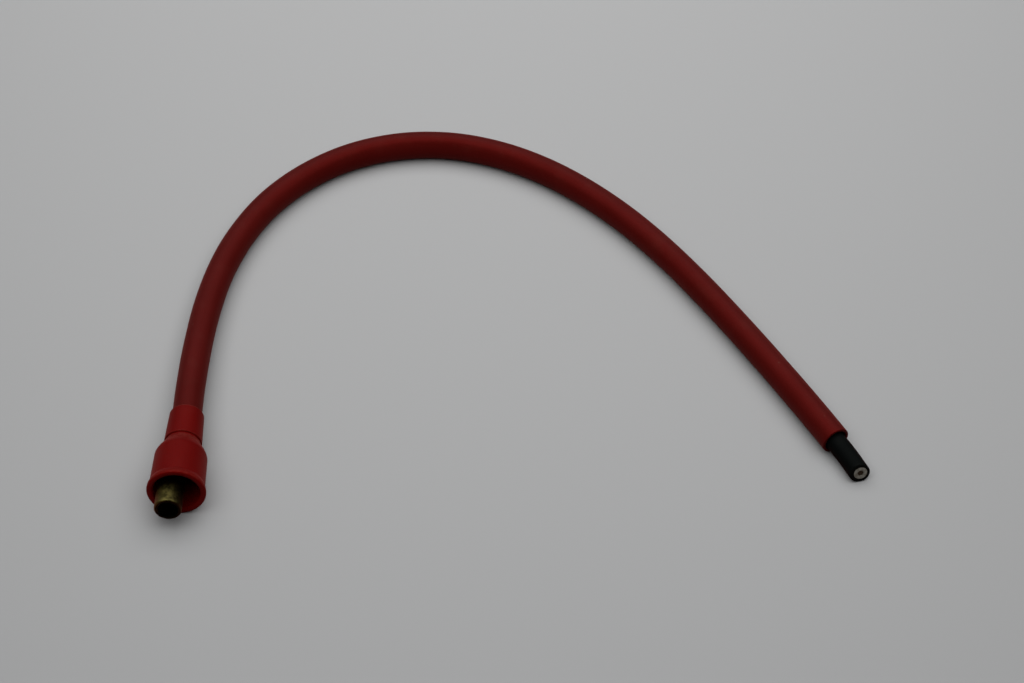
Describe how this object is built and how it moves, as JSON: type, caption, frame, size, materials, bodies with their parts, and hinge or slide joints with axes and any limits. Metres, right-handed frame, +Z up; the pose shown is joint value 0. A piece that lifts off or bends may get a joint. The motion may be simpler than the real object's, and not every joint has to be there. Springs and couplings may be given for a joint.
{
  "type": "ignition coil wire",
  "caption": "Sleeved high tension lead with a moulded rubber boot over a rolled brass terminal at one end and a plain cut cable at the other.",
  "frame": {"origin": "on the bench plane z = 0, under the middle of the lead's outline as it lies in its arch", "axes": "+X from the boot's side of the arch to the cut end's side, +Y from the two ends towards the crown of the arch, +Z up from the bench"},
  "size_m": [0.2343, 0.184, 0.0193],
  "materials": {
    "sleeve_rubber": "dull dark red rubber with a faint sheen",
    "boot_rubber": "smooth moulded red rubber, half glossy",
    "jacket_rubber": "satin black",
    "insulation": "matte cream",
    "core_strands": "dull cut strands",
    "brass": "lightly tarnished rolled brass"
  },
  "bodies": {
    "root": {"red_sleeve": "sleeve_rubber", "boot": "boot_rubber", "cable_jacket": "jacket_rubber", "cable_insulation": "insulation", "conductor_core": "core_strands", "brass_terminal": "brass"}
  },
  "joints": []
}
